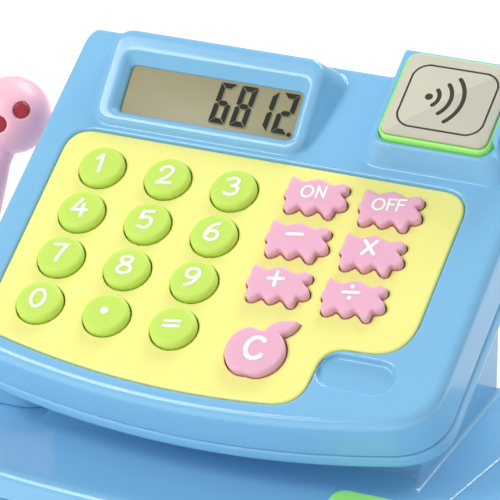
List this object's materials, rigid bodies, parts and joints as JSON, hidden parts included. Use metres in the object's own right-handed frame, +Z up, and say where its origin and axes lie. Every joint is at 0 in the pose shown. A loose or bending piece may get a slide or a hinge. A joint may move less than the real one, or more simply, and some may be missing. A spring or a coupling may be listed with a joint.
{
  "type": "toy cash register",
  "caption": "Toy cash register: wide base with sprung-latch money drawer, tilted calculator console with rubber keys and display, press pad, card slot and handheld scanner.",
  "frame": {"origin": "on the surface the feet stand on, under the centre of the part's box", "axes": "+X to the customer-facing right of the console, +Y to the back, +Z up; the drawer opens towards -Y"},
  "size_m": [0.264, 0.129, 0.1584],
  "materials": {
    "blue_plastic": "glossy moulded light-blue ABS",
    "pale_blue_plastic": "satin moulded pale-blue plastic",
    "yellow_plastic": "glossy moulded light-yellow plastic",
    "green_rubber": "matte lime-green silicone rubber with printed white legend",
    "green_plastic": "satin moulded lime-green plastic",
    "pink_rubber": "matte pink silicone rubber with printed white legend",
    "pink_plastic": "satin moulded pink plastic",
    "red_window": "dark-red translucent plastic",
    "lcd_glass": "olive-grey liquid crystal display glass",
    "label_film": "metallised grey label film, satin",
    "steel": "zinc-plated spring and screw steel",
    "circuit_board": "green solder mask on glass-epoxy board",
    "membrane_rubber": "translucent grey silicone rubber",
    "dark_rubber": "dark grey rubber",
    "speaker_black": "black paper cone in a black frame",
    "battery_case": "plain dark printed steel can",
    "white_nylon": "white nylon"
  },
  "bodies": {
    "root": {"base_shell": "blue_plastic", "counter_plate": "blue_plastic", "base_floor": "blue_plastic", "base_screw_1": "steel", "base_screw_2": "steel", "foot_1": "dark_rubber", "foot_2": "dark_rubber", "foot_3": "dark_rubber", "foot_4": "dark_rubber", "battery_door": "blue_plastic", "battery_door_screw": "steel", "battery_1": "battery_case", "battery_2": "battery_case", "battery_contact_rear": "steel", "battery_contact_front": "steel", "speaker": "speaker_black", "sound_board": "circuit_board", "latch_pin": "steel", "drawer_spring": "steel", "scanner_holder": "blue_plastic", "console_upper_shell": "blue_plastic", "console_lower_shell": "blue_plastic", "keypad_panel": "yellow_plastic", "keypad_membrane": "membrane_rubber", "calculator_board": "circuit_board", "lcd_panel": "lcd_glass", "tap_pad_spring": "steel", "console_screw_1": "steel", "console_screw_2": "steel"},
    "drawer": {"drawer_tray": "pale_blue_plastic", "drawer_front": "blue_plastic"},
    "release_button": {"release_button": "green_plastic"},
    "latch_lever": {"latch_lever": "white_nylon"},
    "tap_pad": {"tap_pad": "green_plastic", "tap_pad_label": "label_film"},
    "scanner": {"scanner_front_shell": "pink_plastic", "scanner_rear_shell": "pink_plastic", "scanner_window_1": "red_window", "scanner_window_2": "red_window"},
    "scanner_trigger": {"scanner_trigger": "green_plastic"},
    "key_1": {"key_1": "green_rubber"},
    "key_2": {"key_2": "green_rubber"},
    "key_3": {"key_3": "green_rubber"},
    "key_4": {"key_4": "green_rubber"},
    "key_5": {"key_5": "green_rubber"},
    "key_6": {"key_6": "green_rubber"},
    "key_7": {"key_7": "green_rubber"},
    "key_8": {"key_8": "green_rubber"},
    "key_9": {"key_9": "green_rubber"},
    "key_0": {"key_0": "green_rubber"},
    "key_dot": {"key_dot": "green_rubber"},
    "key_equals": {"key_equals": "green_rubber"},
    "key_on": {"key_on": "pink_rubber"},
    "key_off": {"key_off": "pink_rubber"},
    "key_minus": {"key_minus": "pink_rubber"},
    "key_times": {"key_times": "pink_rubber"},
    "key_plus": {"key_plus": "pink_rubber"},
    "key_divide": {"key_divide": "pink_rubber"},
    "key_clear": {"key_clear": "pink_rubber"}
  },
  "joints": [
    {"name": "drawer_slide", "type": "slide", "parent": "root", "child": "drawer", "axis": [0, -1, 0], "range_m": [0, 0.085]},
    {"name": "release_button_press", "type": "slide", "parent": "root", "child": "release_button", "axis": [0, 0, -1], "range_m": [0, 0.002], "stiffness_N_per_m": 600},
    {"name": "latch_hinge", "type": "hinge", "parent": "root", "child": "latch_lever", "pos_m": [0.066, -0.042, 0.0452], "axis": [0, -1, 0], "range_deg": [0, 16]},
    {"name": "tap_pad_press", "type": "slide", "parent": "root", "child": "tap_pad", "axis": [0, 0.5011, -0.8654], "range_m": [0, 0.002], "stiffness_N_per_m": 600, "deforming": ["tap_pad_spring"]},
    {"name": "scanner_lift", "type": "slide", "parent": "root", "child": "scanner", "axis": [0.2496, 0.4245, 0.8704], "range_m": [0, 0.05]},
    {"name": "scanner_trigger_press", "type": "slide", "parent": "scanner", "child": "scanner_trigger", "axis": [-0.3521, 0.877, -0.3268], "range_m": [0, 0.0012], "stiffness_N_per_m": 600},
    {"name": "key_1_press", "type": "slide", "parent": "root", "child": "key_1", "axis": [0, 0.5011, -0.8654], "range_m": [0, 0.0015], "stiffness_N_per_m": 600},
    {"name": "key_2_press", "type": "slide", "parent": "root", "child": "key_2", "axis": [0, 0.5011, -0.8654], "range_m": [0, 0.0015], "stiffness_N_per_m": 600},
    {"name": "key_3_press", "type": "slide", "parent": "root", "child": "key_3", "axis": [0, 0.5011, -0.8654], "range_m": [0, 0.0015], "stiffness_N_per_m": 600},
    {"name": "key_4_press", "type": "slide", "parent": "root", "child": "key_4", "axis": [0, 0.5011, -0.8654], "range_m": [0, 0.0015], "stiffness_N_per_m": 600},
    {"name": "key_5_press", "type": "slide", "parent": "root", "child": "key_5", "axis": [0, 0.5011, -0.8654], "range_m": [0, 0.0015], "stiffness_N_per_m": 600},
    {"name": "key_6_press", "type": "slide", "parent": "root", "child": "key_6", "axis": [0, 0.5011, -0.8654], "range_m": [0, 0.0015], "stiffness_N_per_m": 600},
    {"name": "key_7_press", "type": "slide", "parent": "root", "child": "key_7", "axis": [0, 0.5011, -0.8654], "range_m": [0, 0.0015], "stiffness_N_per_m": 600},
    {"name": "key_8_press", "type": "slide", "parent": "root", "child": "key_8", "axis": [0, 0.5011, -0.8654], "range_m": [0, 0.0015], "stiffness_N_per_m": 600},
    {"name": "key_9_press", "type": "slide", "parent": "root", "child": "key_9", "axis": [0, 0.5011, -0.8654], "range_m": [0, 0.0015], "stiffness_N_per_m": 600},
    {"name": "key_0_press", "type": "slide", "parent": "root", "child": "key_0", "axis": [0, 0.5011, -0.8654], "range_m": [0, 0.0015], "stiffness_N_per_m": 600},
    {"name": "key_dot_press", "type": "slide", "parent": "root", "child": "key_dot", "axis": [0, 0.5011, -0.8654], "range_m": [0, 0.0015], "stiffness_N_per_m": 600},
    {"name": "key_equals_press", "type": "slide", "parent": "root", "child": "key_equals", "axis": [0, 0.5011, -0.8654], "range_m": [0, 0.0015], "stiffness_N_per_m": 600},
    {"name": "key_on_press", "type": "slide", "parent": "root", "child": "key_on", "axis": [0, 0.5011, -0.8654], "range_m": [0, 0.0015], "stiffness_N_per_m": 600},
    {"name": "key_off_press", "type": "slide", "parent": "root", "child": "key_off", "axis": [0, 0.5011, -0.8654], "range_m": [0, 0.0015], "stiffness_N_per_m": 600},
    {"name": "key_minus_press", "type": "slide", "parent": "root", "child": "key_minus", "axis": [0, 0.5011, -0.8654], "range_m": [0, 0.0015], "stiffness_N_per_m": 600},
    {"name": "key_times_press", "type": "slide", "parent": "root", "child": "key_times", "axis": [0, 0.5011, -0.8654], "range_m": [0, 0.0015], "stiffness_N_per_m": 600},
    {"name": "key_plus_press", "type": "slide", "parent": "root", "child": "key_plus", "axis": [0, 0.5011, -0.8654], "range_m": [0, 0.0015], "stiffness_N_per_m": 600},
    {"name": "key_divide_press", "type": "slide", "parent": "root", "child": "key_divide", "axis": [0, 0.5011, -0.8654], "range_m": [0, 0.0015], "stiffness_N_per_m": 600},
    {"name": "key_clear_press", "type": "slide", "parent": "root", "child": "key_clear", "axis": [0, 0.5011, -0.8654], "range_m": [0, 0.0015], "stiffness_N_per_m": 600}
  ],
  "couplings": [
    {"joint": "latch_hinge", "follows": "release_button_press", "rad_per_m": 133}
  ]
}
